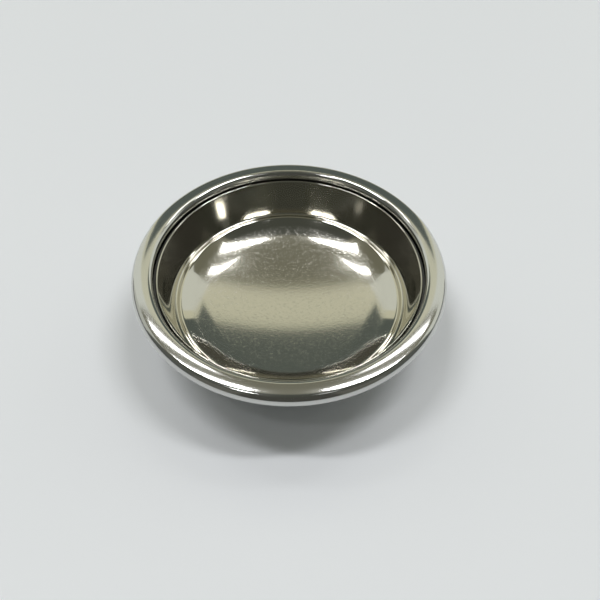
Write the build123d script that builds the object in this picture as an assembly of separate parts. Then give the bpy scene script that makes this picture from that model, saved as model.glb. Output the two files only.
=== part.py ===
from build123d import *
import os
from math import asin, cos, degrees, radians, sin, sqrt, tan

# Shaving bowl: a polished, shallow lather bowl of two spun metal sheets.  A chromed outer
# shell carries the broad rolled rim; a warm nickel-plated inner bowl drops into its mouth and
# is held by a bead of sealant; a thin non-slip pad sits under the flat base.
# Millimetres.  Origin at the middle of the underside, on the surface the bowl stands on; +Z up.

# Driving dimensions
rim_radius = 50.0             # outermost radius of the rolled rim
bowl_height = 28.0            # table to the top of the rim
shell_sheet = 0.8             # sheet thickness of the outer shell
bowl_sheet = 0.5              # sheet thickness of the inner bowl

# Rolled rim: a gently crowned top between a tight outer roll and a tight inner shoulder
edge_radius = 2.5
crown_radius = 12.5
crown_lean = 15.0             # slope, in degrees, where the crown runs into the outer roll
shoulder_radius = 1.65
face_lean = 5.0               # lean of the rim's inner face from vertical, in degrees
curl_angle = 80.0             # how far the roll turns back under, past straight down, in degrees
curl_radius = 1.9             # radius of that last turn, tighter than the outer roll

# Shell body: a quarter-round side over a flat base
mouth_depth = 5.4             # the rim's inner face reaches this far below the rim's top
body_radius = 20.6            # quarter round, measured to the inside of the sheet

# Inner bowl, measured on its polished inner face
mouth_radius = 42.45
lip_drop = 2.84               # the inner bowl's top edge lies this far below the rim's top
dish_radius = 24.5            # the shallow middle of the dish reaches this far out
dish_curve = 156.0            # spherical radius of that middle
middle_flat = 0.5             # tiny flat where the middle of the sheet was clamped for spinning
side_curve = 20.2             # the dish's side sweeps up on this radius, out to the ridge
ridge_radius = 36.0           # the crisp edge round the dish
ridge_drop = 14.3             # height of that edge, below the rim's top
ridge_fold = 0.6
groove_slope = -30.0          # outside the ridge the sheet dips at this slope, in degrees
groove_curve = 1.1            # round bottom of the narrow groove between ridge and wall
wall_foot_slope = 63.0        # the wall steepens from this slope at its foot
wall_mouth_slope = 77.8       # to this one at the mouth
# Hidden pieces
bead_top_drop = 3.8           # the sealant bead's top, below the rim's top
bead_height = 1.5
pad_radius = 21.0
pad_thickness = 0.8
pad_corner = 0.25

# Heights and centres worked out from these
edge_centre_radius = rim_radius - edge_radius
crown_step = crown_radius - edge_radius
crown_centre_radius = edge_centre_radius - crown_step * sin(radians(crown_lean))
edge_centre_height = bowl_height - crown_radius + crown_step * cos(radians(crown_lean))
shell_floor = pad_thickness + shell_sheet
mouth_foot_height = bowl_height - mouth_depth
lip_height = bowl_height - lip_drop
ridge_height = bowl_height - ridge_drop
dish_slope = asin(dish_radius / dish_curve)
side_slope = asin(sin(dish_slope) + (ridge_radius - dish_radius) / side_curve)
dish_edge_height = ridge_height - side_curve * (cos(dish_slope) - cos(side_slope))
dish_height = dish_edge_height - dish_curve * (1 - cos(dish_slope))


def sheet_of(path, thickness, side):
    """Closed section of a metal sheet that lies on one side of its visible face."""
    return make_face(Plane.XZ * path.offset_2d(thickness, kind=Kind.ARC, side=side, closed=True))


def turned(section):
    """Solid of revolution about the bowl's axis."""
    return revolve(section, axis=Axis.Z, revolution_arc=360)


def face_radius(height):
    """Radius of the rim's leaning inner face, at one height."""
    top_radius = crown_centre_radius - shoulder_radius * cos(radians(face_lean))
    top_height = bowl_height - shoulder_radius + shoulder_radius * sin(radians(face_lean))
    return top_radius - (top_height - height) * tan(radians(face_lean))


def shell_path():
    """Inside of the shell, up the rim's inner face, over its top and under its outer edge."""
    shoulder = CenterArc(
        (crown_centre_radius, bowl_height - shoulder_radius), shoulder_radius,
        180 - face_lean, face_lean - 90,
    )
    crown = CenterArc(
        (crown_centre_radius, bowl_height - crown_radius), crown_radius, 90, -crown_lean
    )
    outer_roll = CenterArc(
        (edge_centre_radius, edge_centre_height), edge_radius, 90 - crown_lean, crown_lean - 180
    )
    under_roll = CenterArc(
        (edge_centre_radius, edge_centre_height - edge_radius + curl_radius), curl_radius,
        -90, -curl_angle,
    )
    face_foot = (face_radius(mouth_foot_height), mouth_foot_height)
    inner_face = Line(face_foot, shoulder @ 0)
    body_centre = (face_foot[0] - body_radius, shell_floor + body_radius)
    body = CenterArc(body_centre, body_radius, -90, 90)
    neck = Line(body @ 1, face_foot)
    base = Line((0, shell_floor), body @ 0)
    return Wire([base, body, neck, inner_face, shoulder, crown, outer_roll, under_roll])


def outer_shell():
    """Chromed shell: flat base, quarter-round side and rolled rim from one spun sheet."""
    return turned(sheet_of(shell_path(), shell_sheet, Side.RIGHT))


def bowl_path():
    """Polished face of the inner bowl, from the middle of the dish to its top edge."""
    middle = Line((0, dish_height), (middle_flat, dish_height))
    dish = RadiusArc(middle @ 1, (dish_radius, dish_edge_height), -dish_curve)
    side_turn = degrees(side_slope - dish_slope)
    side = JernArc(dish @ 1, (cos(dish_slope), sin(dish_slope)), side_curve, side_turn)
    fold = JernArc(side @ 1, side % 1, ridge_fold, groove_slope - degrees(side_slope))
    dip = Line(fold @ 1, fold @ 1 + dip_length(fold @ 1) * (fold % 1))
    groove = JernArc(dip @ 1, dip % 1, groove_curve, wall_foot_slope - groove_slope)
    wall = JernArc(groove @ 1, groove % 1, wall_curve(groove @ 1), wall_mouth_slope - wall_foot_slope)
    return Wire([middle, dish, side, fold, dip, groove, wall])


def wall_curve(foot):
    """Radius of the wall's arc, which climbs from its foot to the mouth between its two slopes."""
    return (lip_height - foot.Y) / (cos(radians(wall_foot_slope)) - cos(radians(wall_mouth_slope)))


def dip_length(start):
    """Length of the groove's falling side that lets the wall end at the mouth's radius."""
    groove_width = groove_curve * (sin(radians(wall_foot_slope)) - sin(radians(groove_slope)))
    groove_rise = groove_curve * (cos(radians(groove_slope)) - cos(radians(wall_foot_slope)))
    wall_run = sin(radians(wall_mouth_slope)) - sin(radians(wall_foot_slope))
    wall_run /= cos(radians(wall_foot_slope)) - cos(radians(wall_mouth_slope))
    across = mouth_radius - start.X - groove_width - wall_run * (lip_height - start.Y - groove_rise)
    return across / (cos(radians(groove_slope)) - wall_run * sin(radians(groove_slope)))


def inner_bowl():
    """Nickel-plated inner bowl: dish, crisp ridge, groove and flared wall from one sheet."""
    return turned(sheet_of(bowl_path(), bowl_sheet, Side.RIGHT))


def bowl_outside(height):
    """Radius of the inner bowl's outer face on its flared wall, at one height."""
    wall = bowl_path().edges().sort_by_distance((mouth_radius, lip_height, 0))[0]
    centre = wall.arc_center
    outside = wall.radius + bowl_sheet
    return centre.X + sqrt(outside**2 - (centre.Y - height) ** 2)


def sealant_bead():
    """Ring of sealant in the wedge between the inner bowl's wall and the rim's inner face."""
    top = bowl_height - bead_top_drop
    low = top - bead_height
    middle = (top + low) / 2
    bowl_side = ThreePointArc(
        (bowl_outside(top), top), (bowl_outside(middle), middle), (bowl_outside(low), low)
    )
    rim_side = Polyline(bowl_side @ 1, (face_radius(low), low), (face_radius(top), top), bowl_side @ 0)
    return turned(make_face(Plane.XZ * Wire([bowl_side, *rim_side.edges()])))


def foot_pad():
    """Thin round non-slip pad under the flat base."""
    pad = Cylinder(pad_radius, pad_thickness, align=(Align.CENTER, Align.CENTER, Align.MIN))
    return fillet(pad.edges().sort_by(Axis.Z)[0], pad_corner)


if __name__ == "__main__":
    os.makedirs("parts", exist_ok=True)
    pieces = {
        "outer_shell": outer_shell(),
        "inner_bowl": inner_bowl(),
        "sealant_bead": sealant_bead(),
        "foot_pad": foot_pad(),
    }
    for name, piece in pieces.items():
        export_step(piece, f"parts/{name}.step")
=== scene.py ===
from math import asin, cos, pi, radians, sin, tan

import bmesh
import bpy
from mathutils import Matrix, Vector


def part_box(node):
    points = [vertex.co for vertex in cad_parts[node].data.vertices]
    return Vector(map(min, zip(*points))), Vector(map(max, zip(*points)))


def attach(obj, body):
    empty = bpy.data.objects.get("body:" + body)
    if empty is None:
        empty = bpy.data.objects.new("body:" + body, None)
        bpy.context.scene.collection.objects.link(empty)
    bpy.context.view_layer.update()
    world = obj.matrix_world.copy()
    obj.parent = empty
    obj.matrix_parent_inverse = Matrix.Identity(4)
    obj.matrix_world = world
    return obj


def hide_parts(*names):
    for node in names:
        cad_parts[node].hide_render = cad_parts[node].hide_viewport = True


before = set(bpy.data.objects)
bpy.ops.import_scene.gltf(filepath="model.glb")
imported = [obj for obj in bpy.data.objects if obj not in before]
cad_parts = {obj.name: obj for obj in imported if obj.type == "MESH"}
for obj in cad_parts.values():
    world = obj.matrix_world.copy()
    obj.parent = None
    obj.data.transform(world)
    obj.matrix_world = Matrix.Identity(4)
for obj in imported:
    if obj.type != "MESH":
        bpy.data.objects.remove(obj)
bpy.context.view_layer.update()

# ---------------------------------------------------------------------------------------
# Outer shell: one disc of brass spun over a former into a flat-based, round-sided bowl.
# Its edge is rolled out, crowned and curled under into the broad rim, and the whole shell
# is buffed on a wheel and chrome plated.
# ---------------------------------------------------------------------------------------
shell_low, shell_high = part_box("outer_shell")
rim_top = shell_high[2]
rim_radius = shell_high[0]
shell_sheet = 0.0008
shell_floor = shell_low[2] + shell_sheet
body_radius = 0.0206
mouth_z = rim_top - 0.0054
face_lean = radians(5.0)
shoulder_radius = 0.00165
crown_radius = 0.0125
crown_lean = radians(15.0)
edge_radius = 0.0025
curl_radius = 0.0019
curl_angle = radians(80.0)
spin_steps = 288


def start(bm, x, z):
    """First point of a sheet's section, in the X-Z plane."""
    return bm.verts.new((x, 0.0, z))


def run(bm, vert, x, z, steps):
    """Straight stretch of the section from its last point, in equal steps."""
    step = (Vector((x, 0.0, z)) - vert.co) / steps
    for _ in range(steps):
        made = bmesh.ops.extrude_vert_indiv(bm, verts=[vert])
        vert = made["verts"][0]
        bmesh.ops.translate(bm, verts=[vert], vec=step)
    return vert


def sweep(bm, vert, slope, new_slope, radius, steps):
    """Arc of the section from its last point, that leaves at one slope and ends at another."""
    side = radius if new_slope > slope else -radius
    centre = (vert.co.x - side * sin(slope), 0.0, vert.co.z + side * cos(slope))
    made = bmesh.ops.spin(bm, geom=[vert], cent=centre, axis=(0, 1, 0),
                          angle=slope - new_slope, steps=steps)
    return [item for item in made["geom_last"] if isinstance(item, bmesh.types.BMVert)][0]


def placed(name, bm):
    """Object at the origin from a drawn mesh."""
    mesh = bpy.data.meshes.new(name)
    bm.to_mesh(mesh)
    bm.free()
    made = bpy.data.objects.new(name, mesh)
    bpy.context.scene.collection.objects.link(made)
    return made


def spun_sheet(name, bm, thickness):
    """Spins the section once round the bowl's axis and gives the sheet its thickness."""
    bmesh.ops.spin(bm, geom=bm.verts[:] + bm.edges[:], cent=(0, 0, 0), axis=(0, 0, 1),
                   angle=2 * pi, steps=spin_steps, use_merge=True)
    bmesh.ops.remove_doubles(bm, verts=bm.verts[:], dist=1e-7)
    bmesh.ops.recalc_face_normals(bm, faces=bm.faces[:])
    piece = placed(name, bm)
    piece.data.polygons.foreach_set("use_smooth", [True] * len(piece.data.polygons))
    sheet = piece.modifiers.new("sheet", "SOLIDIFY")
    sheet.thickness = thickness
    sheet.offset = -1.0
    sheet.use_even_offset = True
    return piece


# The inner face leans in from the mouth's foot to the tight shoulder under the crown.
edge_x = rim_radius - edge_radius
crown_x = edge_x - (crown_radius - edge_radius) * sin(crown_lean)
shoulder_x = crown_x - shoulder_radius * cos(face_lean)
shoulder_z = rim_top - shoulder_radius + shoulder_radius * sin(face_lean)
mouth_x = shoulder_x - (shoulder_z - mouth_z) * tan(face_lean)

section = bmesh.new()
point = start(section, 0.0, shell_floor)
point = run(section, point, mouth_x - body_radius, shell_floor, 10)
point = sweep(section, point, 0.0, pi / 2, body_radius, 40)
point = run(section, point, mouth_x, mouth_z, 2)
point = run(section, point, shoulder_x, shoulder_z, 16)
point = sweep(section, point, pi / 2 - face_lean, 0.0, shoulder_radius, 22)
point = sweep(section, point, 0.0, -crown_lean, crown_radius, 20)
point = sweep(section, point, -crown_lean, -pi, edge_radius, 40)
point = sweep(section, point, -pi, -pi - curl_angle, curl_radius, 14)
shell = spun_sheet("outer_shell_spinning", section, shell_sheet)
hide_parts("outer_shell")
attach(shell, "root")


def linear(code):
    """Linear colour of an sRGB hex value."""
    parts = [int(code[i:i + 2], 16) / 255 for i in (1, 3, 5)]
    return tuple(c / 12.92 if c <= 0.04045 else ((c + 0.055) / 1.055) ** 2.4 for c in parts) + (1.0,)


def new_material(name):
    """Empty node material."""
    material = bpy.data.materials.new(name)
    material.use_nodes = True
    material.node_tree.nodes.clear()
    return material


def node(tree, kind, settings=None, **links):
    """Adds a node: a setting names a property or a socket, a link feeds a socket by name or number."""
    made = tree.nodes.new(kind)
    for key, value in (settings or {}).items():
        if isinstance(key, str) and hasattr(made, key):
            setattr(made, key, value)
        else:
            made.inputs[key].default_value = value
    for key, source in links.items():
        key = int(key[1:]) if key[0] == "_" else key.replace("_", " ")
        tree.links.new(source, made.inputs[key])
    return made


def axis_distance(tree, place):
    """Distance from the bowl's axis."""
    flat = node(tree, "ShaderNodeVectorMath", {"operation": "MULTIPLY", 1: (1, 1, 0)},
                _0=place.outputs["Object"])
    return node(tree, "ShaderNodeVectorMath", {"operation": "LENGTH"}, _0=flat.outputs[0])


def spinning_marks(tree, spacing, height):
    """Normal of a surface with fine lines round the bowl's axis, as buffing leaves them.
    They are a noise of the distance from the axis and of the height alone."""
    place = node(tree, "ShaderNodeTexCoord")
    reach = axis_distance(tree, place)
    axes = node(tree, "ShaderNodeSeparateXYZ", _0=place.outputs["Object"])
    ring = node(tree, "ShaderNodeCombineXYZ", _0=reach.outputs["Value"], _2=axes.outputs["Z"])
    lines = node(tree, "ShaderNodeTexNoise", {"Scale": 0.5 / spacing, "Detail": 3.0, "Roughness": 0.6},
                 Vector=ring.outputs[0])
    return node(tree, "ShaderNodeBump", {"Strength": 1.0, "Distance": height}, Height=lines.outputs[0])


# Bright chrome plate on buffed brass: a neutral mirror, with buffing lines round the rim that
# are too faint to see one by one and give every lamp a soft edge.
chrome = new_material("polished_chrome_plate")
tree = chrome.node_tree
buffing = spinning_marks(tree, spacing=0.0004, height=0.0000005)
metal = node(tree, "ShaderNodeBsdfPrincipled",
             {"Base Color": linear("#CFCFCC"), "Metallic": 1.0, "Roughness": 0.12},
             Normal=buffing.outputs[0])
node(tree, "ShaderNodeOutputMaterial", Surface=metal.outputs["BSDF"])
shell.data.materials.append(chrome)

# ---------------------------------------------------------------------------------------
# Inner bowl: the soap dish, a thinner disc of brass spun in one piece. A shallow dish sweeps
# up to a crisp ridge, a narrow groove runs outside it, and a nearly straight wall flares up
# to a plain edge just inside the rim. It is nickel plated and set into the shell with sealant.
# ---------------------------------------------------------------------------------------
lip_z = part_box("inner_bowl")[1][2]
mouth_radius = 0.04245
bowl_sheet = 0.0005
dish_radius = 0.0263
dish_curve = 0.1285
bend_radius = 0.0321
bend_curve = 0.0212
ridge_radius = 0.0360
side_curve = 0.0720
ridge_z = rim_top - 0.0153
ridge_fold = 0.0006
groove_slope = radians(-30.0)
groove_curve = 0.0011
foot_slope = radians(70.0)
knee_slope = radians(70.5)
knee_z = rim_top - 0.0110
mouth_slope = radians(74.5)

dish_slope = asin(dish_radius / dish_curve)
bend_slope = asin(sin(dish_slope) + (bend_radius - dish_radius) / bend_curve)
side_slope = asin(sin(bend_slope) + (ridge_radius - bend_radius) / side_curve)
middle_z = ridge_z - dish_curve * (1 - cos(dish_slope))
middle_z -= bend_curve * (cos(dish_slope) - cos(bend_slope))
middle_z -= side_curve * (cos(bend_slope) - cos(side_slope))

section = bmesh.new()
point = start(section, 0.0, middle_z)
point = sweep(section, point, 0.0, dish_slope, dish_curve, 40)
point = sweep(section, point, dish_slope, bend_slope, bend_curve, 24)
point = sweep(section, point, bend_slope, side_slope, side_curve, 16)
point = sweep(section, point, side_slope, groove_slope, ridge_fold, 14)
# The groove's falling side is just long enough for the wall to end at the mouth's edge.
low_lean = (sin(knee_slope) - sin(foot_slope)) / (cos(foot_slope) - cos(knee_slope))
high_lean = (sin(mouth_slope) - sin(knee_slope)) / (cos(knee_slope) - cos(mouth_slope))
across = mouth_radius - point.co.x - groove_curve * (sin(foot_slope) - sin(groove_slope))
across -= low_lean * (knee_z - point.co.z - groove_curve * (cos(groove_slope) - cos(foot_slope)))
across -= high_lean * (lip_z - knee_z)
dip = across / (cos(groove_slope) - low_lean * sin(groove_slope))
dip_end = (point.co.x + dip * cos(groove_slope), point.co.z + dip * sin(groove_slope))
point = run(section, point, *dip_end, 3)
point = sweep(section, point, groove_slope, foot_slope, groove_curve, 20)
low_curve = (knee_z - point.co.z) / (cos(foot_slope) - cos(knee_slope))
point = sweep(section, point, foot_slope, knee_slope, low_curve, 12)
high_curve = (lip_z - point.co.z) / (cos(knee_slope) - cos(mouth_slope))
point = sweep(section, point, knee_slope, mouth_slope, high_curve, 24)
bowl = spun_sheet("inner_bowl_spinning", section, bowl_sheet)
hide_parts("inner_bowl")
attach(bowl, "root")

# Bright nickel over spun brass: a clean mirror on the wall, while the dish keeps a fine
# pebbled grain under its plating. The grain scatters the light into a soft sparkling haze
# round every lamp, over a mirror that still shows the room.
grain_edge = 0.0325
grain_fade = 0.0010
grain_size = 0.0009
grain_depth = 0.0001
ripple_depth = 0.000012


def nickel_layer(tree, roughness, normal):
    """The same nickel with its own roughness and normal."""
    return node(tree, "ShaderNodeBsdfPrincipled",
                {"Base Color": linear("#CDCBC3"), "Metallic": 1.0, "Roughness": roughness},
                Normal=normal.outputs[0])


nickel = new_material("polished_nickel_plate")
tree = nickel.node_tree
turning = spinning_marks(tree, spacing=0.0005, height=0.0000006)
place = node(tree, "ShaderNodeTexCoord")
reach = axis_distance(tree, place)
grained = node(tree, "ShaderNodeMapRange",
               {"interpolation_type": "SMOOTHSTEP", "From Min": grain_edge - grain_fade,
                "From Max": grain_edge + grain_fade, "To Min": 1.0, "To Max": 0.0},
               Value=reach.outputs["Value"])
pebbles = node(tree, "ShaderNodeTexNoise", {"Scale": 1 / grain_size, "Detail": 2.0, "Roughness": 0.7},
               Vector=place.outputs["Object"])
grain = node(tree, "ShaderNodeBump", {"Strength": 1.0, "Distance": grain_depth},
             Height=pebbles.outputs[0])
ripple = node(tree, "ShaderNodeBump", {"Strength": 1.0, "Distance": ripple_depth},
              Height=pebbles.outputs[0], Normal=turning.outputs[0])
mirror = nickel_layer(tree, 0.06, turning)
soft_mirror = nickel_layer(tree, 0.12, ripple)
haze = nickel_layer(tree, 0.25, grain)
# Only the crowns of the pebbles, where the noise is high, scatter the light.
crowns = node(tree, "ShaderNodeMapRange",
              {"From Min": 0.52, "From Max": 0.66, "To Min": 0.02, "To Max": 0.55},
              Value=pebbles.outputs[0])
dish_finish = node(tree, "ShaderNodeMixShader", None, _0=crowns.outputs[0], _1=soft_mirror.outputs[0],
                   _2=haze.outputs[0])
finish = node(tree, "ShaderNodeMixShader", None, _0=grained.outputs[0], _1=mirror.outputs[0],
              _2=dish_finish.outputs[0])
node(tree, "ShaderNodeOutputMaterial", Surface=finish.outputs[0])
bowl.data.materials.append(nickel)

# ---------------------------------------------------------------------------------------
# Sealant bead: a ring of grey silicone run into the wedge between the inner bowl's wall and
# the rim's inner face. It holds the bowl and is seen only as the dark line at its edge; its dark
# grey is painted shade standing in for the shadowed gap there.
# ---------------------------------------------------------------------------------------
# Cured silicone sealant: slightly glossy; its dark grey is painted shade for the gap between the bowl's
# wall and the rim.
silicone = new_material("silicone_sealant_painted_gap_shade")
tree = silicone.node_tree
rubber = node(tree, "ShaderNodeBsdfPrincipled", {"Base Color": linear("#4A4B49"), "Roughness": 0.45})
node(tree, "ShaderNodeOutputMaterial", Surface=rubber.outputs["BSDF"])
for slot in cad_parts["sealant_bead"].material_slots:
    slot.material = silicone

# ---------------------------------------------------------------------------------------
# Foot pad: a thin disc cut from rubber sheet and stuck under the flat base, so that the bowl
# neither slides nor scratches what it stands on.
# ---------------------------------------------------------------------------------------
# Moulded rubber sheet: matt black, with the cloth-like stipple that the press leaves.
stipple_size = 0.0007
stipple_depth = 0.0001
sheet_rubber = new_material("moulded_rubber_sheet")
tree = sheet_rubber.node_tree
place = node(tree, "ShaderNodeTexCoord")
stipple = node(tree, "ShaderNodeTexVoronoi", {"Scale": 1 / stipple_size}, Vector=place.outputs["Object"])
dimples = node(tree, "ShaderNodeBump", {"Strength": 0.5, "Distance": stipple_depth},
               Height=stipple.outputs["Distance"])
rubber = node(tree, "ShaderNodeBsdfPrincipled", {"Base Color": linear("#242524"), "Roughness": 0.75},
              Normal=dimples.outputs[0])
node(tree, "ShaderNodeOutputMaterial", Surface=rubber.outputs["BSDF"])
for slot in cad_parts["foot_pad"].material_slots:
    slot.material = sheet_rubber

# ---------------------------------------------------------------------------------------
# Table: a plain pale laminate top that carries the bowl and its shadow.
# ---------------------------------------------------------------------------------------
table_half = 2.3
bm = bmesh.new()
bmesh.ops.create_grid(bm, x_segments=1, y_segments=1, size=table_half)
table = placed("table", bm)

# Melamine laminate: nearly white, a little cool, with a soft sheen.
laminate = new_material("pale_table_laminate")
tree = laminate.node_tree
top = node(tree, "ShaderNodeBsdfPrincipled", {"Base Color": linear("#EBEEF3"), "Roughness": 0.5})
node(tree, "ShaderNodeOutputMaterial", Surface=top.outputs["BSDF"])
table.data.materials.append(laminate)

# ---------------------------------------------------------------------------------------
# Studio: plain painted walls and ceiling round the table, which the polished metal mirrors,
# a dark screen at the back, and strip lamps in rows under the ceiling.
# ---------------------------------------------------------------------------------------
room = 2.4
back_y = 0.66 * room
rear_y = -0.67 * room
board_thickness = 0.001
board_gap = 0.01


def painted(name, low, high, colour):
    """A thin stage board between two corners, that glows evenly in its own colour."""
    bm = bmesh.new()
    bmesh.ops.create_cube(bm, size=1.0)
    size = [max(b - a, board_thickness) for a, b in zip(low, high)]
    bmesh.ops.scale(bm, vec=size, verts=bm.verts[:])
    bmesh.ops.translate(bm, vec=[(a + b) / 2 for a, b in zip(low, high)], verts=bm.verts[:])
    board = placed(name, bm)
    board.visible_camera = False
    paint = new_material(name + "_paint")
    glow = node(paint.node_tree, "ShaderNodeEmission", {"Color": (*colour, 1.0)})
    node(paint.node_tree, "ShaderNodeOutputMaterial", Surface=glow.outputs[0])
    board.data.materials.append(paint)


# The back wall is cream, with a slate screen before its middle and paler wings at its ends.
wing_start = 0.45 * room
wing_y = back_y - board_gap
screen_half = 0.385 * room
screen_y = back_y - 2 * board_gap
screen_foot = 0.25
screen_top = back_y / 1.03
painted("stage_back", (-room, back_y, 0), (room, back_y, room), (0.75, 0.74, 0.57))
painted("stage_screen", (-screen_half, screen_y, screen_foot), (screen_half, screen_y, screen_top),
        (0.12, 0.14, 0.125))
painted("stage_wing_left", (-room, wing_y, 0), (-wing_start, wing_y, room), (0.80, 0.82, 0.74))
painted("stage_wing_right", (wing_start, wing_y, 0), (room, wing_y, room), (0.80, 0.82, 0.74))

# The ceiling and the side walls are light towards the back and dark behind the viewer.
painted("stage_ceiling", (-room, 0, room), (room, back_y, room), (0.21, 0.205, 0.15))
painted("stage_rear_ceiling", (-room, rear_y, room), (room, 0, room), (0.08, 0.085, 0.07))
side_split = 0.1 * room
skirt_top = 0.45
for side, x, shade in (("left", -room, 0.60), ("right", room, 0.78)):
    side_colour = (shade, 1.02 * shade, 0.92 * shade)
    painted("stage_skirt_" + side, (x, rear_y, 0), (x, back_y, skirt_top), (0.12, 0.13, 0.13))
    painted("stage_" + side, (x, side_split, skirt_top), (x, back_y, room), side_colour)
    painted("stage_rear_" + side, (x, rear_y, skirt_top), (x, side_split, room), (0.12, 0.125, 0.11))

# The rear wall is dim, and the dark screen before it stands for whoever looks at the bowl.
viewer_half = 0.9
rear_back_y = rear_y - 2 * board_gap
painted("stage_rear", (-room, rear_back_y, 0), (room, rear_back_y, room), (0.15, 0.15, 0.13))
painted("stage_rear_screen", (-viewer_half, rear_y, 0), (viewer_half, rear_y, room), (0.08, 0.08, 0.07))

lamp_width = 0.08 * room


def strip_lamp(x, y, length, power):
    """Strip lamp under the ceiling, across the room."""
    strip = bpy.data.lights.new("strip_lamp", "AREA")
    strip.shape = "RECTANGLE"
    strip.size = length
    strip.size_y = lamp_width
    strip.energy = power
    holder = bpy.data.objects.new("strip_lamp", strip)
    holder.location = (x, y, room - board_gap)
    holder.visible_camera = False
    bpy.context.scene.collection.objects.link(holder)


# A far row and a stronger near row of long lamps, and two short ones behind the viewer.
for side in (-1, 1):
    strip_lamp(side * 0.425 * room, 0.49 * room, length=0.45 * room, power=4.5)
    strip_lamp(side * 0.40 * room, 0.11 * room, length=0.45 * room, power=18.5)
strip_lamp(-0.32 * room, -0.32 * room, length=0.35, power=3.0)
strip_lamp(0.25 * room, -0.32 * room, length=0.30, power=0.25)

world = bpy.data.worlds.new("studio")
bpy.context.scene.world = world
world.use_nodes = True
world.node_tree.nodes["Background"].inputs["Color"].default_value = (0.5, 0.5, 0.5, 1)

# ---------------------------------------------------------------------------------------
# Camera: 39 mm lens 233 mm from the point it looks at, looking down at 51 degrees.
# ---------------------------------------------------------------------------------------
camera_roll = radians(1.137)
lens = bpy.data.cameras.new("camera")
lens.lens = 39.0
lens.sensor_width = 36.0
lens.clip_start = 0.005
camera = bpy.data.objects.new("camera", lens)
bpy.context.scene.collection.objects.link(camera)
eye_point = Vector((0.0, -0.13893, 0.18097))
aim_point = Vector((0.00373, 0.00726, 0.0))
turn = (aim_point - eye_point).to_track_quat("-Z", "Y").to_matrix().to_4x4()
camera.matrix_world = Matrix.Translation(eye_point) @ turn @ Matrix.Rotation(camera_roll, 4, "Z")
bpy.context.scene.camera = camera
bpy.context.scene.view_settings.view_transform = "Standard"
